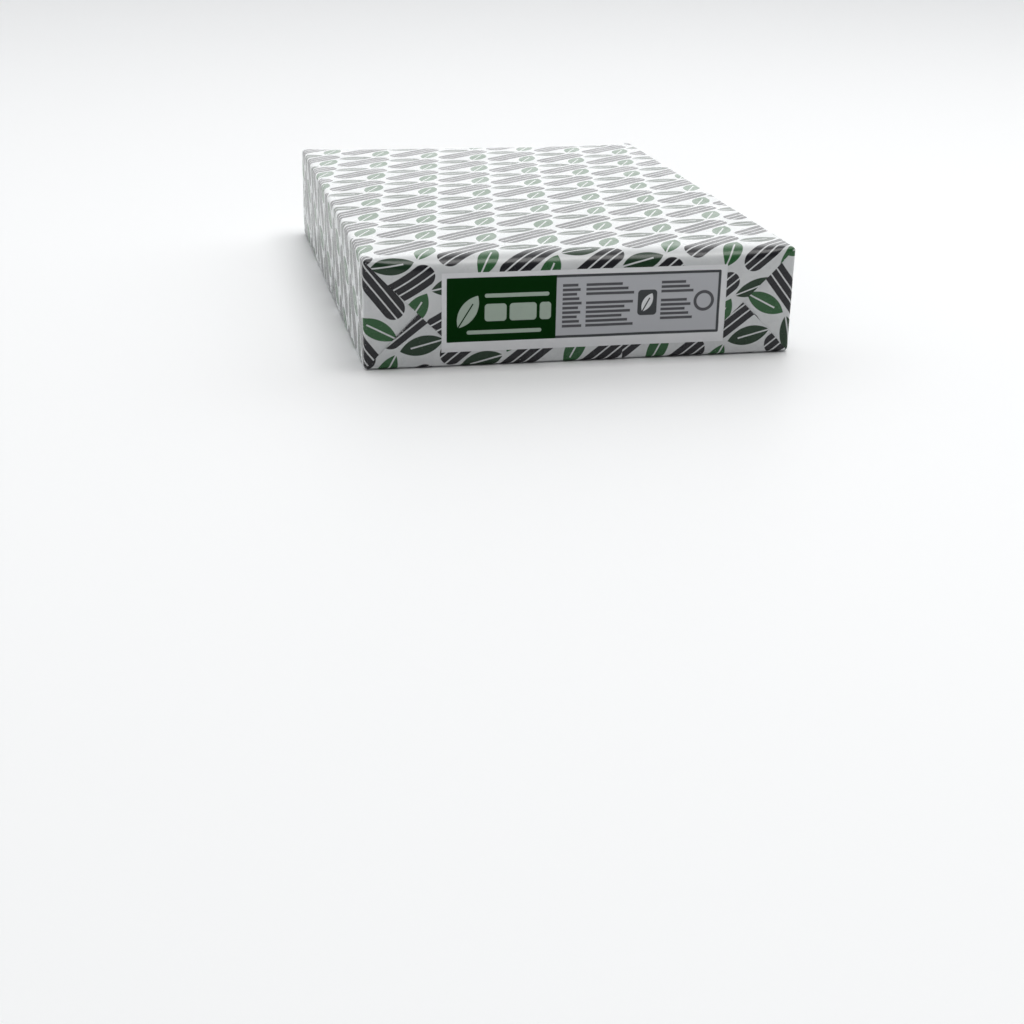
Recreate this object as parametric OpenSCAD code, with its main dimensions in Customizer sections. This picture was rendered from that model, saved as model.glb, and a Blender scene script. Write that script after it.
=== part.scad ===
// Wrapped ream of A4 copy paper, lying flat as it is stacked and sold.
// Millimetres. The origin is the middle of the face that it rests on: X runs across the
// sheets, Y along them and Z up. The end that carries the label faces -Y.
//
// The ream is sealed, so the stack and the wrapper round it are one solid. Its ends keep the
// layers of a machine-folded wrapper: side tucks first, then the bottom flap, then the top flap.

/* [Paper stack] */
// Width of a sheet
sheet_w = 210; // [190:1:297]
// Length of a sheet
sheet_l = 297; // [210:1:420]
// Number of sheets in the ream
sheet_count = 500; // [450:10:600]
// Thickness of one sheet
sheet_t = 0.104; // [0.096:0.002:0.12]

/* [Wrapper] */
// Thickness of the wrapping paper
wrap_t = 0.12; // [0.08:0.01:0.2]
// Air left between two folded layers at an end
fold_air = 0.15; // [0.05:0.01:0.3]
// Rounding of the wrapper over the edges of the stack
edge_r = 2; // [0.8:0.1:2.5]
// How far the top flap lies over the bottom flap
flap_lap = 28; // [18:1:36]
// Distance of the lengthwise seam's free edge from the middle of the base
seam_x = 20; // [5:1:60]

/* [End label] */
// Width of the label
label_w = 139; // [110:1:150]
// Height of the label
label_h = 38; // [28:1:42]
// Thickness of the label
label_t = 0.1; // [0.08:0.01:0.2]
// Distance of the label's middle from the middle of the end
label_shift = 1; // [-12:0.5:12]

/* [Hidden] */
$fn = 64;

// The stack, and the wrapper drawn tight round it: one layer on top, two at the seam below
stack_h = sheet_count * sheet_t;
body_w = sheet_w + 2 * wrap_t;
body_h = stack_h + 3 * wrap_t;

// How far each folded layer of an end stands out from the ends of the sheets.
// A flap's slanted folds make it two layers thick.
flap_rise = 2 * wrap_t + fold_air;
tuck_out = wrap_t;
bottom_flap_out = tuck_out + flap_rise;
top_flap_out = bottom_flap_out + flap_rise;

// A slanted fold is as thick as its two layers, and its spine is round
spine_r = flap_rise / 2;

// Both flaps are as deep as half the end and half their lap
flap_depth = (body_h + flap_lap) / 2;

// How far a flap and its rounded hinge reach to either side of the ends of the sheets
hinge_l = edge_r + top_flap_out;

// How far a cut runs past the face that it cuts
past = 1;

paper_white = [0.93, 0.94, 0.94];
label_white = [0.97, 0.97, 0.96];

// Rectangle about the origin with true round corners
module rounded_rect(w, h, r) {
    square([w - 2 * r, h], center = true);
    square([w, h - 2 * r], center = true);
    for (sx = [-1, 1], sy = [-1, 1])
        translate([sx * (w / 2 - r), sy * (h / 2 - r)])
            circle(r);
}

// Extrudes an outline of the end, X across and Y up, along the length of the ream
module along_length(l) {
    rotate([90, 0, 0])
        linear_extrude(l, center = true)
            children();
}

// The tight tube and its ends out to a layer that stands out by the given distance,
// round on its twelve edges
module wrapped_block(out) {
    l = sheet_l + 2 * out;
    translate([0, 0, body_h / 2])
        intersection() {
            along_length(l + past)
                rounded_rect(body_w, body_h, edge_r);
            rotate([0, 90, 0])
                linear_extrude(body_w + past, center = true)
                    rounded_rect(body_h, l, edge_r);
            linear_extrude(body_h + past, center = true)
                rounded_rect(body_w, l, edge_r);
        }
}

// Keeps what lies near the two ends of the ream, inside an outline of the end
module near_ends() {
    for (side = [-1, 1])
        translate([0, side * sheet_l / 2, 0])
            along_length(2 * hinge_l)
                children();
}

// Everything on the inner side of the 45 degree fold that starts at the left (-1) or right (1)
// corner of the base, with a round spine where the fold lies on the given layer
module inside_fold(side, out) {
    translate([side * body_w / 2, 0, 0])
        rotate([0, side * 45 - 90, 0])
            linear_extrude(2 * body_w, center = true)
                translate([-body_w / 2, 0])
                    rounded_rect(body_w, sheet_l + 2 * out, spine_r);
}

// The flaps of both ends, hinged on the base and folded up onto the given layer. The side
// tucks under them pull their sides in, along a slanted fold from each corner.
module flaps(out) {
    intersection() {
        wrapped_block(out);
        near_ends()
            translate([-body_w / 2, 0])
                square([body_w, flap_depth]);
        inside_fold(-1, out);
        inside_fold(1, out);
    }
}

// The wrapper's long edges meet in a lap under the ream. Beyond the free edge of the lap,
// the base and the bottom flaps are one layer of paper thinner.
module seam_step() {
    step_w = body_w / 2 - seam_x + past;
    step_l = sheet_l + 2 * (bottom_flap_out - wrap_t);
    translate([seam_x, 0, 0])
        difference() {
            translate([0, -step_l / 2 - past, -past])
                cube([step_w, step_l + 2 * past, body_h]);
            translate([-past, -step_l / 2, wrap_t])
                cube([step_w + 2 * past, step_l, body_h]);
        }
}

module wrapped_ream() {
    color(paper_white)
        union() {
            difference() {
                union() {
                    wrapped_block(tuck_out);
                    flaps(bottom_flap_out);
                }
                seam_step();
            }
            translate([0, 0, body_h])
                mirror([0, 0, 1])
                    flaps(top_flap_out);
        }
}

// Stuck over the free edge of the front top flap, face to face with it
module end_label() {
    color(label_white)
        translate([label_shift - label_w / 2, -sheet_l / 2 - top_flap_out - label_t, (body_h - label_h) / 2])
            cube([label_w, label_t, label_h]);
}

wrapped_ream();
end_label();
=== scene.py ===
# %% [markdown]
# This lesson dresses a sealed ream of A4 copy paper. The ream is a stack of 500 sheets in one
# sheet of coated paper, which is folded at both short ends, glued along a seam underneath and
# marked by a label on one end. The measured model comes first, and everything made here takes
# its size and place from it, so nothing has to be fitted by eye afterwards.

# %% Load the measured ream
import math

import bmesh
import bpy
import numpy as np
from mathutils import Matrix, Vector, noise


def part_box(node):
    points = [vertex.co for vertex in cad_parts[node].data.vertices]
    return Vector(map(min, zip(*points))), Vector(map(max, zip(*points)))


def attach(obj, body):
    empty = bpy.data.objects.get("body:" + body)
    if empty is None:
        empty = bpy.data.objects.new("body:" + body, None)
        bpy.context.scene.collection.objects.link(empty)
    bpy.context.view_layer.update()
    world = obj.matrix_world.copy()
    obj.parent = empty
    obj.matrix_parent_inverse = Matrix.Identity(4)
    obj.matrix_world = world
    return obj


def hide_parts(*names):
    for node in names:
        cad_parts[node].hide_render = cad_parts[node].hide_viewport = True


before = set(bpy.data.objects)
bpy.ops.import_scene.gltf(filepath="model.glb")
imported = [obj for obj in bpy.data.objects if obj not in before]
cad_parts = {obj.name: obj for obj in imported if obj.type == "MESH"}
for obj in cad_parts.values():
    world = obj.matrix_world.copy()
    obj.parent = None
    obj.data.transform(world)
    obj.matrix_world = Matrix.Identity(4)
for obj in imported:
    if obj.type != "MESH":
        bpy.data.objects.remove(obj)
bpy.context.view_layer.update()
print("measured pieces:", sorted(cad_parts))

# %% [markdown]
# A product shot is settled by its camera, so the camera is made before anything is dressed.
# Blender can aim a camera with a Track To constraint, but a real camera also leans a little.
# Three turns, about the upright, the sideways and the viewing axis, give all of that exactly.

# %% Aim the camera
MM = 0.001

camera_place = Vector((-198, -903, 234)) * MM
turned_right, tipped_down, leaned = (math.radians(a) for a in (12.35, 21.89, 1.12))

lens = bpy.data.cameras.new("product_camera")
lens.sensor_width = 36.0
lens.lens = 59.2
lens.clip_start, lens.clip_end = 0.05, 60.0

camera = bpy.data.objects.new("product_camera", lens)
bpy.context.scene.collection.objects.link(camera)
camera.matrix_world = (
    Matrix.Translation(camera_place)
    @ Matrix.Rotation(-turned_right, 4, "Z")
    @ Matrix.Rotation(math.pi / 2 - tipped_down, 4, "X")
    @ Matrix.Rotation(leaned, 4, "Z")
)
bpy.context.scene.camera = camera
print("camera to ream, mm:", round(camera_place.length * 1000))

# %% [markdown]
# The shot has a bright wall behind the ream and a dim room behind the camera. That is why the
# labelled end looks grey while the glossy top mirrors the wall and washes its print out. One
# world shader gives both: its brightness follows the direction that the light comes from. The
# ceiling stays dimmer, which leaves the light from above to a lamp, and a pale band round the
# horizon lets the floor end softly. A real room could be modelled instead, but a gradient is
# quicker to steer and less noisy.

# %% Light the room
WALL_LIGHT = 1.76      # the bright half of the room, behind the ream
ROOM_LIGHT = 0.09      # the dim half, behind the camera
SHADY_SIDE = 0.62      # how much of the wall's light is left at the far left
CEILING_SHARE = 0.25   # how much of it is left overhead
SKYLINE_LIGHT = 0.62   # the pale band right round the horizon
ROOM_TINT = (0.98, 0.99, 1.0, 1.0)

room = bpy.data.worlds.new("studio_room")
bpy.context.scene.world = room
room.use_nodes = True
room_nodes = room.node_tree.nodes
room_links = room.node_tree.links


def ramp_between(tree, value, start, stop, low, high):
    """Adds a smooth step: low where the value is under start, high where it is over stop."""
    step = tree.nodes.new("ShaderNodeMapRange")
    step.interpolation_type = "SMOOTHSTEP"
    tree.links.new(value, step.inputs["Value"])
    for name, number in zip(("From Min", "From Max", "To Min", "To Max"), (start, stop, low, high)):
        step.inputs[name].default_value = number
    return step.outputs["Result"]


def arithmetic(tree):
    """Gives a short way to add math nodes to a shader, as in m("ADD", one, other)."""

    def m(operation, *values, clamp=False):
        node = tree.nodes.new("ShaderNodeMath")
        node.operation = operation
        node.use_clamp = clamp
        for socket, value in zip(node.inputs, values):
            if isinstance(value, bpy.types.NodeSocket):
                tree.links.new(value, socket)
            else:
                socket.default_value = value
        return node.outputs[0]

    return m


direction = room_nodes.new("ShaderNodeTexCoord")
split_direction = room_nodes.new("ShaderNodeSeparateXYZ")
room_links.new(direction.outputs["Generated"], split_direction.inputs[0])
# Each of these runs from -1 to 1 over the directions that light can come from
sideways, away, upward = (split_direction.outputs[axis] for axis in "XYZ")

m = arithmetic(room.node_tree)
wall = ramp_between(room.node_tree, away, -0.15, 0.45, 0.0, WALL_LIGHT - ROOM_LIGHT)
wall = m("MULTIPLY", wall, ramp_between(room.node_tree, sideways, -0.9, -0.15, SHADY_SIDE, 1.0))
wall = m("MULTIPLY", wall, ramp_between(room.node_tree, upward, 0.55, 0.95, 1.0, CEILING_SHARE))
skyline = ramp_between(room.node_tree, upward, 0.03, 0.24, SKYLINE_LIGHT - ROOM_LIGHT, 0.0)
backdrop = room_nodes["Background"]
backdrop.inputs["Color"].default_value = ROOM_TINT
room_links.new(m("ADD", m("MAXIMUM", wall, skyline), ROOM_LIGHT), backdrop.inputs["Strength"])
print("light of the wall over light of the room:", round(WALL_LIGHT / ROOM_LIGHT, 1))

# %% [markdown]
# A soft lamp hangs overhead. The softness of a shadow depends on how large a lamp looks from
# the object, but a smaller lamp is brighter for the same power. This one is small enough to
# show as a gleam along the rounded upper edge of the labelled end, and it hangs where that edge
# mirrors it to the camera. The floor before the ream stays lit, and lights that end from below.

# %% Hang the soft lamp
softbox = bpy.data.lights.new("overhead_softbox", "AREA")
softbox.shape = "RECTANGLE"
softbox.size, softbox.size_y = 1.5, 1.0   # metres
softbox.energy = 25.5
softbox.color = (1.0, 0.995, 0.985)
softbox_place = bpy.data.objects.new("overhead_softbox", softbox)
softbox_place.location = (0.35, -0.1, 2.2)
bpy.context.scene.collection.objects.link(softbox_place)
bpy.context.scene.view_settings.view_transform = "Standard"
print("softbox, watts:", softbox.energy)

# %% [markdown]
# The floor is a pale satin board. A perfectly matt floor would look flat, so it keeps a weak,
# blurred gloss that brightens towards the wall, and a fine grain that breaks the gloss up.

# %% Lay the floor
FLOOR_SIZE = 24.0      # metres across
BOARD_WHITE = (0.94, 0.945, 0.95, 1)
FLOOR_DROP = 0.1 * MM  # keeps the floor clear of the base, so that the two never share a plane

floor_mesh = bpy.data.meshes.new("studio_floor")
half_floor = FLOOR_SIZE / 2
round_the_floor = ((-1, -1), (1, -1), (1, 1), (-1, 1))
floor_corners = [(x * half_floor, y * half_floor, -FLOOR_DROP) for x, y in round_the_floor]
floor_mesh.from_pydata(floor_corners, [], [(0, 1, 2, 3)])
floor = bpy.data.objects.new("studio_floor", floor_mesh)
bpy.context.scene.collection.objects.link(floor)

board = bpy.data.materials.new("satin_board")
board.use_nodes = True
board_shader = board.node_tree.nodes["Principled BSDF"]
board_shader.inputs["Base Color"].default_value = BOARD_WHITE
grain = board.node_tree.nodes.new("ShaderNodeTexNoise")
grain.inputs["Scale"].default_value = 900.0
where_on_floor = board.node_tree.nodes.new("ShaderNodeTexCoord")
board.node_tree.links.new(where_on_floor.outputs["Object"], grain.inputs["Vector"])
floor_gloss = ramp_between(board.node_tree, grain.outputs["Fac"], 0.3, 0.7, 0.50, 0.58)
board.node_tree.links.new(floor_gloss, board_shader.inputs["Roughness"])
floor_mesh.materials.append(board)
print("floor, metres across:", FLOOR_SIZE)

# %% [markdown]
# The wrapper is one sheet of paper, so it is built as one: flat panels joined by rounded
# folds. First come its sizes. The outer ones are read from the measured model, and the
# others are what paper does, such as its thickness and how far a fold springs open.

# %% Take the sizes of the wrapper
low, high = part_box("wrapped_ream")
PAPER = 0.12 * MM        # thickness of the wrapping paper
EDGE_R = 2.0 * MM        # rounding over the edges of the stack
FOLD_BULK = 0.9 * MM     # how far the folded ends stand out from the ends of the sheets
SEAM_X = 20 * MM         # free edge of the lap under the ream
LAP = 24 * MM            # how far the wrapper's two long edges lie over each other
LAP_RISE = 0.15 * MM     # one layer of paper and a little air
FLAP_LAP = 28 * MM       # how far the two flaps of an end lie over each other

half_w = (high.x - low.x) / 2
top_z = high.z
end_y = (high.y - low.y) / 2 - FOLD_BULK
flap_depth = (top_z + FLAP_LAP) / 2
tuck_edge = half_w - flap_depth   # the side tucks reach as far in as the flaps are deep
corner_x = half_w - EDGE_R
hinge_y = end_y - EDGE_R
print("wrapper, mm:", [round(n * 1000, 2) for n in (2 * half_w, 2 * end_y, top_z, flap_depth)])

# %% [markdown]
# Seen from the end, the wrapper is an open loop. It starts at the free edge of the lap under
# the ream, runs left along the base, up the left side, over the top and down the right side,
# and ends above its own beginning. Each stretch keeps the distance walked along the paper,
# because the print lies flat on that paper and has to run on round every edge.

# %% Walk round the wrapper
GRID = 2.0 * MM   # distance between the columns of the mesh
TURN = 8          # steps in each rounded fold


def line(start, stop):
    """Points along a straight stretch of the loop."""
    start, stop = np.array(start), np.array(stop)
    return np.linspace(start, stop, max(1, round(np.linalg.norm(stop - start) / GRID)) + 1)


def bend(centre, first_angle):
    """Points along a quarter turn, clockwise for someone who looks at the labelled end."""
    angle = np.radians(first_angle) - np.linspace(0, math.pi / 2, TURN + 1)
    return np.array(centre) + EDGE_R * np.stack([np.cos(angle), np.sin(angle)], 1)


foot_z, head_z = EDGE_R, top_z - EDGE_R
right_foot_z = foot_z + LAP_RISE
stretches = {
    "base_outer": line((SEAM_X, 0), (-corner_x, 0)),
    "bend_left_low": bend((-corner_x, foot_z), -90),
    "left": line((-half_w, foot_z), (-half_w, head_z)),
    "bend_left_high": bend((-corner_x, head_z), 180),
    "top": line((-corner_x, top_z), (corner_x, top_z)),
    "bend_right_high": bend((corner_x, head_z), 90),
    "right": line((half_w, head_z), (half_w, right_foot_z)),
    "bend_right_low": bend((corner_x, right_foot_z), 0),
    "base_inner": line((corner_x, LAP_RISE), (SEAM_X - LAP, LAP_RISE)),
}

walked, distance = {}, 0.0
for name, points in stretches.items():
    steps = np.linalg.norm(np.diff(points, axis=0), axis=1)
    walked[name] = distance + np.concatenate([[0], np.cumsum(steps)])
    distance = walked[name][-1]
middle_of_top = walked["top"].mean()
walked = {name: along - middle_of_top for name, along in walked.items()}
print("girth of the wrapper with its lap, mm:", round(distance * 1000))

# %% [markdown]
# Every panel becomes a grid of points. A grid also carries its place on the flat sheet, as a
# UV map, and a mark from 0 to 1 that says how close each point is to a fold, because print
# cracks and whitens there. The grids are gathered here and welded into one sheet later.
#
# A folded end is tight at its corners only. Between them the paper of the top flap is slack, so
# its fold over the end is wider, and that is what makes the upper edge of a ream look soft.

# %% Gather grids of paper
SLACK_BACK = 9.0 * MM   # how much further a slack fold reaches back over the top
SLACK_DOWN = 5.5 * MM   # and how much further down the end
SLACK_POWER = 6         # a higher one keeps the slack even until closer to the corners
TUBE_ROWS = 81          # rows of points along the ream
BEND_MARK = 0.8         # how strongly a rounded edge is marked as a fold
sheet_points, sheet_faces, sheet_places, sheet_folds = [], [], [], []
ream_middle = np.array([0, 0, top_z / 2])


def rise(value, start, stop):
    """Smooth step from 0 at start to 1 at stop, for arrays."""
    t = np.clip((value - start) / (stop - start), 0, 1)
    return t * t * (3 - 2 * t)


def fold_size(name, x):
    """How far a panel's fold reaches back from the end of the ream, and down that end."""
    slack = 1 - (x / corner_x) ** SLACK_POWER if name == "top" else 0 * x
    return EDGE_R + SLACK_BACK * slack, EDGE_R + SLACK_DOWN * slack


def lay_faces(points, faces, places, folds):
    """Adds points and faces to the sheet, turned so that the printed side faces outwards."""
    a, b, c = (points[[f[k] for f in faces]] for k in range(3))
    outward = np.einsum("ij,ij->i", np.cross(b - a, c - a), a - ream_middle).sum()
    first = sum(len(p) for p in sheet_points)
    if outward < 0:
        faces = [f[::-1] for f in faces]
    sheet_points.append(points)
    sheet_places.append(places)
    sheet_folds.append(folds)
    sheet_faces.extend(tuple(first + k for k in f) for f in faces)


def lay_grid(points, places, folds):
    """Adds a grid: points is rows by columns by 3, places by 2, and folds by nothing."""
    rows, columns = points.shape[:2]
    corner = np.arange(rows * columns).reshape(rows, columns)
    around = corner[:-1, :-1], corner[1:, :-1], corner[1:, 1:], corner[:-1, 1:]
    faces = [tuple(f) for f in np.stack([k.ravel() for k in around], 1).tolist()]
    folds = np.broadcast_to(folds, (rows, columns))
    lay_faces(points.reshape(-1, 3), faces, places.reshape(-1, 2), folds.ravel())


places_along = np.linspace(-hinge_y, hinge_y, TUBE_ROWS)
for name, points in stretches.items():
    y, column = np.meshgrid(places_along, np.arange(len(points)), indexing="ij")
    x, z = points[column, 0], points[column, 1]
    y = y * (end_y - fold_size(name, x)[0]) / hinge_y
    place = np.stack([walked[name][column], y], 2)
    lay_grid(np.stack([x, y, z], 2), place, BEND_MARK if name.startswith("bend") else 0.0)
print("grids of the tube:", len(sheet_points))

# %% [markdown]
# Past the ends of the stack the paper is folded in, as on a wrapped gift: the sides first,
# then the bottom flap, and last the top flap. Each layer lies on the one below, so a level
# says how far it stands out from the ends of the sheets. Near a corner the layers are pulled
# tight, a slanted fold springs up a little, and the edge of a tuck shows as a faint step.

# %% Say how high each folded layer lies
TUCK_LEVEL = 0.12 * MM
BOTTOM_LEVEL = 0.55 * MM
TOP_LEVEL = FOLD_BULK
SPRING = 0.22 * MM                # how far a slanted fold springs up
SPRING_WIDTH = 2.2 * MM
SPRING_STARTS = 8 * MM, 26 * MM   # distances from the corner with none of it, and with all
TIGHT_ENDS = 2 * MM, 16 * MM      # where the pull of the corner starts to ease, and is gone
TUCK_STEP = 0.2 * MM              # the step over the edge of a tuck
TUCK_SOFTNESS = 1.8 * MM          # half the width of that step
PUSH_BACK = 1.05                  # keeps a tuck just behind the slack fold over it


def flap_level(across, depth, full):
    """Level of a flap, at a place across it and at a depth below its hinge."""
    across = np.abs(across)
    from_corner = np.hypot(half_w - across, depth)
    from_fold = (half_w - depth - across) / math.sqrt(2)
    spring = SPRING * np.exp(-((from_fold / SPRING_WIDTH) ** 2)) * rise(from_corner, *SPRING_STARTS)
    tuck_step = TUCK_STEP * (1 - rise(across, tuck_edge - TUCK_SOFTNESS, tuck_edge + TUCK_SOFTNESS))
    return TUCK_LEVEL + (full - TUCK_LEVEL - tuck_step) * rise(from_corner, *TIGHT_ENDS) + spring


def top_level(across, depth):
    return flap_level(across, depth, TOP_LEVEL)


def bottom_level(across, depth):
    return flap_level(across, depth, BOTTOM_LEVEL)


def inner_bottom_level(across, depth):
    return flap_level(across, depth, BOTTOM_LEVEL - LAP_RISE)


def tuck_level(z, from_side):
    """Level of a side tuck, which is pushed back where the fold of the top flap is slack."""
    back, down = fold_size("top", half_w - from_side)
    left_over = np.clip(1 - (top_z - z) / down, 0, 1)
    return TUCK_LEVEL - PUSH_BACK * back * (1 - np.sqrt(1 - left_over**2))


levels = [round(1000 * top_level(across, 8 * MM), 2) for across in (corner_x, 0)]
print("top flap at a corner and in the middle, mm:", levels)

# %% [markdown]
# One function folds every panel in, since they all do the same: a quarter turn round the edge
# of the stack, then flat along the end. Where the fold is slack, the quarter turn is drawn out
# to a quarter of an ellipse. A flap also narrows with its depth, along 45 degree folds that
# start at the corners. Its columns are pinched together to follow them, while its places on the
# flat sheet stay true, so that the print isn't squeezed.

# %% Fold the panels in
FLAT_STEP = 2.0 * MM   # distance between the rows of a flat part
FOLD_WIDTH = 0.8 * MM  # width of the cracked print along a slanted fold
SLACK_MARK = 0.6       # how much of its mark the slackest fold keeps
hinge_turn = np.linspace(0, math.pi / 2, TURN + 1)[:, None]


def pinch(across, depth, anchor):
    """Moves a place across a flap towards its anchor, as the slanted folds ask."""
    side = np.where(across >= anchor, 1.0, -1.0)
    room_left = side * (half_w - np.maximum(depth, EDGE_R)) - anchor
    return anchor + (across - anchor) * room_left / (side * corner_x - anchor)


def fold_in(name, end, level, anchor=None):
    """Folds a panel over one end, and gives back its rows of depth, places and level."""
    points, along = stretches[name], walked[name]
    upright = name in ("left", "right")
    across = points[:, 1] if upright else points[:, 0]
    start = points[0, 0] if upright else points[0, 1]
    inwards = -np.sign(start) if upright else (-1.0 if name == "top" else 1.0)
    back, down = fold_size(name, across)
    flats = np.linspace(0, 1, round((flap_depth - EDGE_R) / FLAT_STEP) + 1)[1:, None]
    depth = np.concatenate([down * (1 - np.cos(hinge_turn)), down + (flap_depth - down) * flats])
    moved = np.broadcast_to(across, depth.shape) if anchor is None else pinch(across, depth, anchor)
    out = level(moved, np.maximum(depth, EDGE_R))
    turn = np.concatenate([np.sin(hinge_turn), np.ones(flats.shape)])
    y = end * (end_y - back + (back + out) * turn)
    into = start + inwards * depth
    points = np.stack([into, y, moved] if upright else [moved, y, into], 2)
    slope = (along[-1] - along[0]) / (across[-1] - across[0])
    u = along[0] + (moved - across[0]) * slope
    steps = np.hypot(np.diff(depth, axis=0), np.diff(back * turn, axis=0))
    travelled = np.concatenate([np.zeros((1, len(across))), np.cumsum(steps, axis=0)])
    v = end * (end_y - back + travelled)
    near_hinge = BEND_MARK * np.maximum(EDGE_R / back, SLACK_MARK) * (depth <= down)
    from_fold = (half_w - depth - np.abs(moved)) / math.sqrt(2)
    near_fold = 0.0 if anchor is None else np.exp(-((from_fold / FOLD_WIDTH) ** 2))
    lay_grid(points, np.stack([u, v], 2), np.maximum(near_hinge, near_fold * (depth > EDGE_R)))
    return points, np.stack([u, v], 2)


print("a flap, mm deep:", round(1000 * flap_depth, 1))

# %% [markdown]
# A slanted fold is where the paper of a flap turns back under itself, so its edge is round and
# two layers thick. A cut edge there would look like card. Each flap gets a half turn of a
# narrow roll along its slanted folds, and the first few millimetres of the layer below. Then
# everything is folded in, in the order in which the machine does it.

# %% Fold both ends
ROLL = 0.19 * MM       # half the thickness of a slanted fold
ROLL_GROWS = 8 * MM    # the roll is tight at its corner and full size this far along
UNDER = 3.5 * MM       # how much of the layer under a slanted fold is built
half_turn = np.linspace(0, math.pi, 5)
roll_marks = np.array([1, 1, 1, 1, 1, 0.3, 0.0])   # the roll is a fold, the layer below is flat


def roll_under(points, places, end, column, side, downwards):
    """Adds the rounded back of a slanted fold, and the start of the layer under it."""
    edge, place = points[TURN + 2:, column], places[TURN + 2:, column]
    grown = rise(np.arange(len(edge)) * FLAT_STEP, -FLAT_STEP, ROLL_GROWS)[:, None]
    outwards = np.array([side, 0, downwards]) / math.sqrt(2)
    sunk = np.array([0, -end, 0])
    roll = [(ROLL * math.sin(a), ROLL * (1 - math.cos(a))) for a in half_turn]
    lip = roll + [(-UNDER / 2, 2 * ROLL), (-UNDER, 2 * ROLL)]
    rows = np.stack([edge + grown * (outwards * o + sunk * s) for o, s in lip], 1)
    travelled = [ROLL * a for a in half_turn] + [UNDER / 2, UNDER]
    shift = np.array([side, end]) / math.sqrt(2)
    under = np.stack([place + grown * shift * t for t in travelled], 1)
    lay_grid(rows, under, roll_marks)


for end in (-1, 1):
    for side_panel in ("left", "right"):
        fold_in(side_panel, end, tuck_level)
    outer, outer_places = fold_in("base_outer", end, bottom_level, anchor=SEAM_X)
    roll_under(outer, outer_places, end, -1, -1, 1)
    inner, inner_places = fold_in("base_inner", end, inner_bottom_level, anchor=SEAM_X - LAP)
    roll_under(inner, inner_places, end, 0, 1, 1)
    flap, flap_places = fold_in("top", end, top_level, anchor=0.0)
    roll_under(flap, flap_places, end, 0, -1, -1)
    roll_under(flap, flap_places, end, -1, 1, -1)
print("grids with the folded ends:", len(sheet_points))

# %% [markdown]
# Three rounded edges meet at each corner of the stack. The patch between them is an eighth of
# a ball. Its points are spread by weights that add up to one, as on a triangle, and the sine
# of each weight puts the outer rows exactly on the three neighbouring bends.

# %% Close the eight corners
def close_corner(bend_name, side, upwards, end):
    """Adds the patch between a long bend of the tube and the two hinges that it meets."""
    weights = [(i, j, TURN - i - j) for i in range(TURN + 1) for j in range(TURN + 1 - i)]
    order = {w[:2]: k for k, w in enumerate(weights)}
    ways = np.sin(np.array(weights) / TURN * math.pi / 2)
    ways /= np.linalg.norm(ways, axis=1)[:, None]
    middle_z = head_z if upwards > 0 else (foot_z if side < 0 else right_foot_z)
    middle = np.array([side * corner_x, end * hinge_y, middle_z])
    reach = np.array([side * EDGE_R, end * (EDGE_R + TUCK_LEVEL), upwards * EDGE_R])
    points = middle + ways * reach
    along = walked[bend_name]
    first_is_upright = (side < 0) == (upwards > 0)
    turned = np.arctan2(ways[:, 0], ways[:, 2] + 1e-9)
    turned = math.pi / 2 - turned if first_is_upright else turned
    u = along[0] + (along[-1] - along[0]) * turned / (math.pi / 2)
    v = end * (hinge_y + EDGE_R * np.arcsin(np.clip(ways[:, 1], 0, 1)))
    faces = []
    for i in range(TURN):
        for j in range(TURN - i):
            faces.append((order[i, j], order[i + 1, j], order[i, j + 1]))
            if i + j < TURN - 1:
                faces.append((order[i + 1, j], order[i + 1, j + 1], order[i, j + 1]))
    lay_faces(points, faces, np.stack([u, v], 1), np.ones(len(points)))


for end in (-1, 1):
    close_corner("bend_left_low", -1, -1, end)
    close_corner("bend_left_high", -1, 1, end)
    close_corner("bend_right_high", 1, 1, end)
    close_corner("bend_right_low", 1, -1, end)
print("patches in all:", len(sheet_points))

# %% [markdown]
# Paper that is drawn round a stack is never quite flat. It ripples across the pull, it has
# cockled a little, it puckers where it is pulled to the folded ends, and it is crumpled close
# to the corners. One smooth field of small shifts moves every layer at a place alike, so that
# no layer is pushed through the next. The ends have no puckers, because the layers there lie
# too close, and the base is pressed flat by the weight of the ream.

# %% Ripple the paper
RIPPLE = 0.20 * MM
SIDE_RIPPLE = 0.30 * MM
CRUMPLE = 0.20 * MM
COCKLE = 0.16 * MM
PUCKER = 0.16 * MM
PUCKER_W, PUCKER_L = 8 * MM, 45 * MM   # usual width and length of a pucker
CRUMPLE_SIZE = 6 * MM                  # from one crumple to the next
CRUMPLE_REACH = 9 * MM                 # how far from a corner the crumples fade
COCKLE_SIZE = 18 * MM
PRESSED = 6 * MM                       # height over which the weight of the ream irons the paper
END_PRESSED = 8 * MM                   # the same on the ends
TOP_WAVE = 75 * MM, 24 * MM            # size of a ripple, across the top and along it
SIDE_WAVE = 26 * MM, 70 * MM           # along a side and up it
END_WAVE = 28 * MM, 20 * MM            # across an end and up it


def soft_noise(x, y, z, seed):
    """Smooth noise between about -1 and 1, the same in every run."""
    return noise.noise(Vector((x + 17.0 * seed, y - 5.0 * seed, z + 3.1 * seed)))


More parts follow.
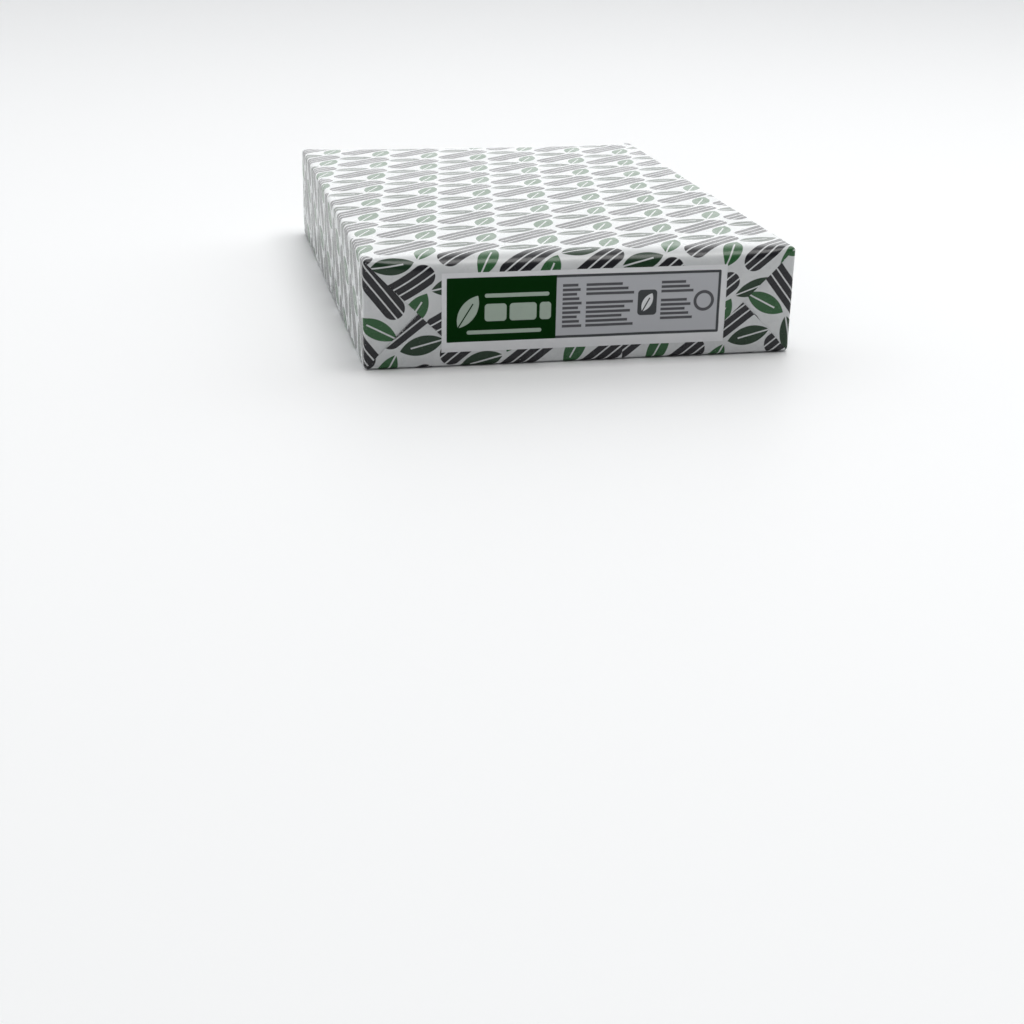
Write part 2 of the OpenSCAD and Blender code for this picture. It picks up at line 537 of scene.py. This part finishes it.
def ripple(point):
    """How far a point of the paper lies from where a perfect wrapper would have it.

    The high powers keep the ripples of each face to that face.
    """
    x, y, z = point
    across, along, up = abs(x) / half_w, abs(y) / end_y, max(z, 0.0) / top_z
    from_corner = math.dist((abs(x), abs(y)), (half_w, end_y)) + 0.4 * min(z, abs(top_z - z))
    crumpled = CRUMPLE * math.exp(-from_corner / CRUMPLE_REACH) * min(1.0, z / PRESSED)
    fine = [crumpled * soft_noise(*(c / CRUMPLE_SIZE for c in point), seed) for seed in (1, 2, 3)]
    cockled = COCKLE * soft_noise(*(c / COCKLE_SIZE for c in point), 7)
    pulled = PUCKER * rise(abs(y), hinge_y - PUCKER_L, hinge_y)
    top = RIPPLE * soft_noise(x / TOP_WAVE[0], y / TOP_WAVE[1], 0.0, 4) + cockled
    top = up**6 * (top + pulled * soft_noise(x / PUCKER_W, y / PUCKER_L, 0.0, 8))
    side = SIDE_RIPPLE * soft_noise(y / SIDE_WAVE[0], z / SIDE_WAVE[1], 0.0, 5) + cockled
    side = side + pulled * soft_noise(z / PUCKER_W, y / PUCKER_L, x, 9)
    side = across**10 * math.sin(math.pi * min(up, 1.0)) * side
    which_side, which_end = math.copysign(1, x), math.copysign(1, y)
    end = RIPPLE * soft_noise(x / END_WAVE[0], z / END_WAVE[1], 2 * which_end, 6) + cockled
    end = along**20 * min(1.0, z / END_PRESSED) * end
    return Vector((fine[0] + side * which_side, fine[1] + end * which_end, fine[2] + top))


print("ripple in the middle of the top, mm:", round(1000 * ripple((0, 0, top_z)).z, 3))

# %% [markdown]
# Now the grids are welded into one sheet. Points of neighbouring panels that share a place
# become one, which makes the shading run on over every fold. A Solidify modifier then gives
# the sheet its real thickness, towards the stack, so that its free edges and the lap under
# the ream look like cut paper. It is applied, because the rim needs its own sharp edges.

# %% Weld the wrapper
WELD_REACH = 0.002 * MM
SHARP_ANGLE = math.radians(50)   # a steeper edge than this is a cut one


def build_sheet(name, points, faces, places, folds, thickness):
    """Makes an object from a sheet of paper, with its places, its folds and its thickness."""
    mesh = bpy.data.meshes.new(name)
    mesh.from_pydata([Vector(p) + ripple(p) for p in points], [], faces)
    flat_map = mesh.uv_layers.new(name="flat_sheet")
    corners = np.zeros(len(mesh.loops), dtype=int)
    mesh.loops.foreach_get("vertex_index", corners)
    flat_map.data.foreach_set("uv", places[corners].ravel())
    near = mesh.attributes.new("near_fold", "FLOAT", "POINT")
    near.data.foreach_set("value", folds)
    welded = bmesh.new()
    welded.from_mesh(mesh)
    bmesh.ops.remove_doubles(welded, verts=welded.verts, dist=WELD_REACH)
    welded.to_mesh(mesh)
    welded.free()
    sheet = bpy.data.objects.new(name, mesh)
    bpy.context.scene.collection.objects.link(sheet)
    thick = sheet.modifiers.new("paper_thickness", "SOLIDIFY")
    thick.thickness = thickness
    thick.offset = -1.0
    solid = bpy.data.meshes.new_from_object(sheet.evaluated_get(bpy.context.evaluated_depsgraph_get()))
    sheet.modifiers.clear()
    sheet.data = solid
    solid.name = name
    solid.shade_smooth()
    solid.set_sharp_from_angle(angle=SHARP_ANGLE)
    bpy.data.meshes.remove(mesh)
    return sheet


wrapper = build_sheet(
    "printed_wrapper",
    np.concatenate(sheet_points),
    sheet_faces,
    np.concatenate(sheet_places),
    np.concatenate(sheet_folds),
    PAPER,
)
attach(wrapper, "root")
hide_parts("wrapped_ream")
print("faces of the wrapper:", len(wrapper.data.polygons))

# %% [markdown]
# The label is a thin sticker pressed onto the folded end, so its shape is the shape of what it
# covers. It steps down softly below the free edge of the top flap, and at one corner where it
# passes the slanted fold. It is a grid that asks the flaps for their level, plus a hair of
# glue, so that it fits them at every point.

# %% Press the label on
GLUE = 0.03 * MM
STICKER = 0.10 * MM               # thickness of the label
STEP_DOWN = -5 * MM, 0.5 * MM     # the label bridges the step of the top flap from here to here
LABEL_COLUMNS, LABEL_ROWS = 81, 25
label_low, label_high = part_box("end_label")


def end_level(x, z):
    """Level of whatever lies outermost on the labelled end, with its steps bridged by paper."""
    depth = top_z - z
    inside = np.minimum(flap_depth - depth, (half_w - depth - np.abs(x)) / math.sqrt(2))
    on_flap = rise(inside, *STEP_DOWN)
    return bottom_level(x, z) * (1 - on_flap) + top_level(x, depth) * on_flap


columns = np.linspace(label_low.x, label_high.x, LABEL_COLUMNS)
rows = np.linspace(label_low.z, label_high.z, LABEL_ROWS)
x, z = np.meshgrid(columns, rows)
y = -(end_y + end_level(x, z) + GLUE + STICKER)
sheet_points, sheet_faces, sheet_places, sheet_folds = [], [], [], []
lay_grid(np.stack([x, y, z], 2), np.stack([x - label_low.x, z - label_low.z], 2), 0.0)
label = build_sheet(
    "printed_end_label",
    sheet_points[0],
    sheet_faces,
    sheet_places[0],
    sheet_folds[0],
    STICKER,
)
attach(label, "root")
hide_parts("end_label")
print("label, mm:", [round(1000 * n, 1) for n in label_high - label_low])

# %% [markdown]
# Print on paper is flat shapes with sharp edges, so it is drawn with distances: each shape
# tells a point how far outside it the point lies, and a narrow ramp turns that into ink. This
# stays sharp at any size and needs no picture. The same few shapes serve wrapper and label.

# %% Shapes for printing
PRINT_BLUR = 0.12   # half the softness of a printed edge, in mm


def ink(m, outside):
    """Full ink where the distance is negative, none where it is positive."""
    return m("MULTIPLY_ADD", outside, -0.5 / PRINT_BLUR, 0.5, clamp=True)


def turned(m, a, b, degrees):
    """The two coordinates as seen from axes that are turned by an angle."""
    c, s = math.cos(math.radians(degrees)), math.sin(math.radians(degrees))
    along = m("MULTIPLY_ADD", a, c, m("MULTIPLY", b, s))
    return along, m("MULTIPLY_ADD", b, c, m("MULTIPLY", a, -s))


def length(m, a, b):
    return m("SQRT", m("MULTIPLY_ADD", a, a, m("MULTIPLY", b, b)))


def bar(m, a, b, half_length, radius):
    """Distance outside a bar with round ends."""
    past_end = m("MAXIMUM", m("SUBTRACT", m("ABSOLUTE", a), half_length - radius), 0.0)
    return m("SUBTRACT", length(m, past_end, b), radius)


def leaf(m, a, b, half_length, half_width):
    """Distance outside a leaf, which is where two equal circles overlap."""
    offset = (half_length**2 - half_width**2) / (2 * half_width)
    return m("SUBTRACT", length(m, a, m("ADD", m("ABSOLUTE", b), offset)), offset + half_width)


def block(m, a, b, centre, half_size, radius=0.0):
    """Distance outside an upright rectangle with rounded corners."""
    dx = m("SUBTRACT", m("ABSOLUTE", m("SUBTRACT", a, centre[0])), half_size[0] - radius)
    dy = m("SUBTRACT", m("ABSOLUTE", m("SUBTRACT", b, centre[1])), half_size[1] - radius)
    outside = length(m, m("MAXIMUM", dx, 0.0), m("MAXIMUM", dy, 0.0))
    return m("SUBTRACT", m("ADD", outside, m("MINIMUM", m("MAXIMUM", dx, dy), 0.0)), radius)


def flat_place(tree):
    """Place on the flat sheet, as two coordinates in millimetres."""
    reader = tree.nodes.new("ShaderNodeUVMap")
    reader.uv_map = "flat_sheet"
    split = tree.nodes.new("ShaderNodeSeparateXYZ")
    tree.links.new(reader.outputs[0], split.inputs[0])
    m = arithmetic(tree)
    return m("MULTIPLY", split.outputs[0], 1000.0), m("MULTIPLY", split.outputs[1], 1000.0)


def tint(tree, under, colour, amount):
    """Lays a colour over another one, by an amount from 0 to 1."""
    mix = tree.nodes.new("ShaderNodeMix")
    mix.data_type = "RGBA"
    for socket, value in ((mix.inputs[6], under), (mix.inputs[7], colour), (mix.inputs[0], amount)):
        if isinstance(value, bpy.types.NodeSocket):
            tree.links.new(value, socket)
        else:
            socket.default_value = (*value, 1.0)
    return mix.outputs[2]


print("softness of a printed edge, mm:", 2 * PRINT_BLUR)

# %% [markdown]
# The wrapper's print is a plain repeating one: rows of dark striped bars, and between them
# rows of green leaves that lean to and fro. One bar and one pair of leaves fill the whole
# sheet, because wrapping the coordinates repeats them. Each row starts a little later than
# the one before it, which keeps the rows from lining up as columns.

# %% Print the wrapper
ROW_ANGLE = 38.0      # slant of the rows on the sheet, in degrees
REPEAT = 44.0         # from bar to bar along a row, in mm
ROW_SPACING = 24.5    # from one row of bars to the next, in mm
ROW_SHIFT = 17.0      # how much later each row starts, in mm
BAR = 19.4, 5.4       # half the length and half the width of a bar, in mm
STRIPE_PLACE, STRIPE_HALF = 1.9, 0.36   # from a bar's middle to a stripe, and half its width
LEAF = 10.8, 4.6      # half the length and half the width of a leaf, in mm
LEAF_LEAN = 24        # degrees
RIB_HALF, RIB_END = 0.38, 5.5   # half the width of a leaf's rib, and where it ends
PAPER_WHITE = (0.727, 0.740, 0.745)
INK_GREY = (0.018, 0.018, 0.022)
LEAF_GREEN = (0.030, 0.120, 0.040)
DEEP_GREEN = (0.013, 0.042, 0.018)


def repeated(m, along, across, along_shift, across_shift):
    """Place inside one repeat of a row, with the middle of the motif at zero."""
    across = m("ADD", across, across_shift)
    row = m("FLOOR", m("MULTIPLY_ADD", across, 1 / ROW_SPACING, 0.5))
    shifted = m("ADD", along, m("MULTIPLY_ADD", row, ROW_SHIFT, along_shift))
    half = ROW_SPACING / 2
    return m("WRAP", shifted, REPEAT / 2, -REPEAT / 2), m("WRAP", across, half, -half)


def printed_pattern(tree, colour):
    """Lays the repeating print over a colour, and gives back the colour and the ink."""
    m = arithmetic(tree)
    u, v = flat_place(tree)
    along, across = turned(m, u, v, ROW_ANGLE)
    a, b = repeated(m, along, across, 0.0, 0.0)
    from_stripe = m("ABSOLUTE", m("SUBTRACT", m("ABSOLUTE", b), STRIPE_PLACE))
    stripe = m("SUBTRACT", from_stripe, STRIPE_HALF)
    dark = m("MULTIPLY", ink(m, bar(m, a, b, *BAR)), m("SUBTRACT", 1.0, ink(m, stripe)))
    leaves = []
    for lean, place in ((LEAF_LEAN, 0.0), (-LEAF_LEAN, REPEAT / 2)):
        a, b = turned(m, *repeated(m, along, across, place, ROW_SPACING / 2), lean)
        rib = m("MAXIMUM", m("SUBTRACT", m("ABSOLUTE", b), RIB_HALF), m("SUBTRACT", a, RIB_END))
        leaves.append(m("MULTIPLY", ink(m, leaf(m, a, b, *LEAF)), m("SUBTRACT", 1.0, ink(m, rib))))
    colour = tint(tree, colour, LEAF_GREEN, leaves[0])
    colour = tint(tree, colour, DEEP_GREEN, leaves[1])
    colour = tint(tree, colour, INK_GREY, dark)
    return colour, m("MAXIMUM", dark, m("MAXIMUM", *leaves))


top_area = 4 * half_w * end_y * 1000**2
print("bars on the top, about:", round(top_area / (REPEAT * ROW_SPACING)))

# %% [markdown]
# Two more helpers serve both papers. Noise that is fixed to the object gives clouds, specks and
# fibres, depending on its scale, and a bump node turns such noise into a relief. Only what is
# too shallow to shape is left to that relief: the fibres, and an unevenness of less than a
# tenth of a millimetre.

# %% Give the papers a grain
FIBRE_RELIEF = 0.02 * MM


def speckle(tree, scale, detail=2.0):
    """Noise that is fixed to the object, as a value from 0 to 1; scale is in specks a metre."""
    place = tree.nodes.new("ShaderNodeTexCoord")
    texture = tree.nodes.new("ShaderNodeTexNoise")
    texture.inputs["Scale"].default_value = scale
    texture.inputs["Detail"].default_value = detail
    tree.links.new(place.outputs["Object"], texture.inputs["Vector"])
    return texture.outputs["Fac"]


def bump(tree, height, distance, strength, under=None):
    """Adds a bump of a real height in metres, on top of another one if that is given."""
    node = tree.nodes.new("ShaderNodeBump")
    node.inputs["Strength"].default_value = strength
    node.inputs["Distance"].default_value = distance
    tree.links.new(height, node.inputs["Height"])
    if under is not None:
        tree.links.new(under, node.inputs["Normal"])
    return node.outputs["Normal"]


print("relief of the fibres, mm:", round(1000 * FIBRE_RELIEF, 3))

# %% [markdown]
# Coated wrapping paper is white paper under a thin waxy film. The film is so thin that it needs
# no coat of its own: one Principled shader with a low index of refraction mirrors little from
# the front and a lot at a glancing angle, as the film does. Three things keep it from looking
# like plastic: its gloss varies, the paper under it is a little cloudy, and on the folds the
# print has cracked, so that the white of the paper shows in specks.

# %% Finish the wrapper
CLOUD_WHITE = (0.69, 0.71, 0.72)
FILM_IOR = 1.4
FILM_ROUGHNESS = 0.25, 0.33
INK_GLOSS = 0.03           # how much smoother the film is over ink
FOLD_SHARE = 0.24          # how much the mark of a fold adds to the noise of the cracks
UNEVEN_RELIEF = 0.1 * MM

coated = bpy.data.materials.new("coated_wrapping_paper")
coated.use_nodes = True
tree = coated.node_tree
shader = tree.nodes["Principled BSDF"]
m = arithmetic(tree)

cloud = ramp_between(tree, speckle(tree, 38.0, 3.0), 0.3, 0.7, 0.0, 1.0)
paper_tone = tint(tree, PAPER_WHITE, CLOUD_WHITE, m("MULTIPLY", cloud, 0.5))
printed, inked = printed_pattern(tree, paper_tone)
fold_mark = tree.nodes.new("ShaderNodeAttribute")
fold_mark.attribute_name = "near_fold"

# A speck of white shows where that noise and the mark of a fold add up to enough
specks = m("MULTIPLY", speckle(tree, 1500.0, 4.0), 0.5)
cracks = m("MULTIPLY_ADD", fold_mark.outputs["Fac"], FOLD_SHARE, specks)
cracked = ramp_between(tree, cracks, 0.5, 0.6, 0.0, 0.7)
tree.links.new(tint(tree, printed, PAPER_WHITE, cracked), shader.inputs["Base Color"])

roughness = ramp_between(tree, speckle(tree, 160.0, 4.0), 0.25, 0.75, *FILM_ROUGHNESS)
roughness = m("SUBTRACT", roughness, m("MULTIPLY", inked, INK_GLOSS))
tree.links.new(roughness, shader.inputs["Roughness"])
shader.inputs["IOR"].default_value = FILM_IOR

uneven = bump(tree, speckle(tree, 110.0, 2.0), UNEVEN_RELIEF, 0.6)
fibre = bump(tree, speckle(tree, 2200.0, 3.0), FIBRE_RELIEF, 0.35, uneven)
tree.links.new(fibre, shader.inputs["Normal"])
wrapper.data.materials.clear()
wrapper.data.materials.append(coated)
print("nodes in the wrapper's material:", len(tree.nodes))

# %% [markdown]
# The label is a duller, uncoated paper with two fields: a deep green panel with a plain leaf
# and light blocks, and a framed grey one with ruled lines where small print would stand. All
# of it is made of the same shapes, placed in millimetres from the frame's lower left corner.

# %% Lay the label out
FRAME_W, FRAME_H = 132.4, 29.5
FRAME_SHIFT = -0.3, 1.2             # of its middle, from the middle of the label
LINE_PITCH, LINE_HALF = 2.2, 0.66   # from one ruled line to the next, and half a line's width
LINE_CUT = 0.3                      # the largest share of a line that is left off
LINE_JUMP = 0.41                    # sets each line's length apart from its neighbours'
LABEL_RIB_HALF = 0.32               # half the width of a leaf's rib
LABEL_RIB_END = 0.5                 # where it ends, as a share of half the leaf

label_w, label_h = ((label_high[axis] - label_low[axis]) * 1000 for axis in (0, 2))
frame_middle = (label_w / 2 + FRAME_SHIFT[0], label_h / 2 + FRAME_SHIFT[1])
frame_left = frame_middle[0] - FRAME_W / 2
frame_low = frame_middle[1] - FRAME_H / 2


def label_block(m, a, b, left, bottom, width, height, radius=0.0):
    """A rectangle measured from the lower left corner of the frame."""
    centre = (frame_left + left + width / 2, frame_low + bottom + height / 2)
    return ink(m, block(m, a, b, centre, (width / 2, height / 2), radius))


def fine_lines(m, a, b, left, bottom, width, count):
    """Ruled lines of uneven length, one above the other."""
    a, b = m("SUBTRACT", a, frame_left + left), m("SUBTRACT", b, frame_low + bottom)
    row = m("FLOOR", m("MULTIPLY", b, 1 / LINE_PITCH))
    from_line = m("SUBTRACT", m("WRAP", b, LINE_PITCH, 0.0), LINE_PITCH / 2)
    outside = m("SUBTRACT", m("ABSOLUTE", from_line), LINE_HALF)
    cut_short = m("MULTIPLY", m("FRACT", m("MULTIPLY", row, LINE_JUMP)), LINE_CUT * width)
    over_end = m("SUBTRACT", m("ADD", a, cut_short), width)
    height = count * LINE_PITCH
    field = block(m, a, b, (width / 2, height / 2), (width / 2, height / 2))
    return ink(m, m("MAXIMUM", m("MAXIMUM", outside, over_end), field))


def label_leaf(m, a, b, centre, lean, half_length, half_width):
    """A leaf with its rib left open, measured from the lower left corner of the frame."""
    a, b = m("SUBTRACT", a, frame_left + centre[0]), m("SUBTRACT", b, frame_low + centre[1])
    a, b = turned(m, a, b, lean)
    beyond_rib = m("SUBTRACT", a, LABEL_RIB_END * half_length)
    rib = m("MAXIMUM", m("SUBTRACT", m("ABSOLUTE", b), LABEL_RIB_HALF), beyond_rib)
    filled = ink(m, leaf(m, a, b, half_length, half_width))
    return m("MULTIPLY", filled, m("SUBTRACT", 1.0, ink(m, rib)))


print("left and lower margin of the frame, mm:", round(frame_left, 1), round(frame_low, 1))

# %% [markdown]
# The label is printed from the back to the front. First come the paper, the grey field, the
# line round it and the green panel, and then what stands on them. Every shape is one more tint
# over the ones before, so its order in this cell is its order on the label.

# %% Print the label
LABEL_WHITE = (0.87, 0.875, 0.89)
LABEL_CLOUD = (0.81, 0.82, 0.84)
FRAME_GREY = (0.08, 0.085, 0.09)
PANEL_GREEN = (0.001, 0.030, 0.002)
PALE_GREEN = (0.46, 0.55, 0.47)
PRINT_GREY = (0.12, 0.12, 0.13)
FIELD_GREY = (0.57, 0.58, 0.61)

FRAME_LINE = 0.65                    # half the width of the line
PANEL_W, PANEL_PAST = 52.0, 0.6      # width of the panel, and how far it laps over the line
RING_PLACE, RING_RADIUS, RING_HALF = (125.0, 15.2), 4.4, 0.75
# Middle, lean in degrees, half the length and half the width of each leaf
PALE_LEAF = (9.5, 13.8), 58, 9.0, 4.0
WHITE_LEAF = (96.75, 15.25), 62, 5.0, 2.3
# Left, bottom, width, height and corner radius of each block
PALE_BLOCKS = (
    (17.5, 9.0, 10.5, 8.4, 1.6), (29.5, 9.0, 13.0, 8.4, 1.6), (44.0, 9.0, 5.5, 8.4, 1.6),
    (17.5, 20.4, 31.0, 1.9, 0.9), (9.0, 2.9, 36.0, 1.9, 0.9),
)
DARK_BLOCK = 92.0, 9.0, 9.5, 12.5, 1.8
# Left, bottom and width of each ruled field, and its number of lines
RULED_FIELDS = (
    (55.0, 4.0, 9.5, 10), (66.5, 19.4, 23.5, 3), (66.5, 4.0, 23.5, 6),
    (103.5, 19.4, 16.0, 3), (103.5, 6.2, 16.0, 5),
)

sticker = bpy.data.materials.new("label_paper")
sticker.use_nodes = True
tree = sticker.node_tree
shader = tree.nodes["Principled BSDF"]
m = arithmetic(tree)
a, b = flat_place(tree)

mottle = ramp_between(tree, speckle(tree, 60.0, 3.0), 0.3, 0.7, 0.0, 0.5)
colour = tint(tree, LABEL_WHITE, LABEL_CLOUD, mottle)
around_frame = m("ABSOLUTE", block(m, a, b, frame_middle, (FRAME_W / 2, FRAME_H / 2)))
colour = tint(tree, colour, FIELD_GREY, label_block(m, a, b, 0.0, 0.0, FRAME_W, FRAME_H))
colour = tint(tree, colour, FRAME_GREY, ink(m, m("SUBTRACT", around_frame, FRAME_LINE)))
panel = (-PANEL_PAST, -PANEL_PAST, PANEL_W + PANEL_PAST, FRAME_H + 2 * PANEL_PAST)
colour = tint(tree, colour, PANEL_GREEN, label_block(m, a, b, *panel))

colour = tint(tree, colour, PALE_GREEN, label_leaf(m, a, b, *PALE_LEAF))
for shape in PALE_BLOCKS:
    colour = tint(tree, colour, PALE_GREEN, label_block(m, a, b, *shape))
for field in RULED_FIELDS:
    colour = tint(tree, colour, PRINT_GREY, fine_lines(m, a, b, *field))
colour = tint(tree, colour, FRAME_GREY, label_block(m, a, b, *DARK_BLOCK))
colour = tint(tree, colour, LABEL_WHITE, label_leaf(m, a, b, *WHITE_LEAF))
from_left = m("SUBTRACT", a, frame_left + RING_PLACE[0])
from_below = m("SUBTRACT", b, frame_low + RING_PLACE[1])
from_ring = m("ABSOLUTE", m("SUBTRACT", length(m, from_left, from_below), RING_RADIUS))
colour = tint(tree, colour, PRINT_GREY, ink(m, m("SUBTRACT", from_ring, RING_HALF)))
tree.links.new(colour, shader.inputs["Base Color"])
print("ruled lines on the label:", sum(field[-1] for field in RULED_FIELDS))

# %% [markdown]
# Uncoated paper has hardly any gloss. A very low index of refraction leaves only a faint sheen
# at a glancing angle, and its fibres, which no film smooths, blur that as well.

# %% Finish the label
LABEL_IOR = 1.12
LABEL_ROUGHNESS = 0.42, 0.56

roughness = ramp_between(tree, speckle(tree, 300.0, 3.0), 0.3, 0.7, *LABEL_ROUGHNESS)
tree.links.new(roughness, shader.inputs["Roughness"])
shader.inputs["IOR"].default_value = LABEL_IOR
relief = bump(tree, speckle(tree, 2600.0, 3.0), FIBRE_RELIEF, 0.4)
tree.links.new(relief, shader.inputs["Normal"])
label.data.materials.clear()
label.data.materials.append(sticker)
print("nodes in the label's material:", len(tree.nodes))
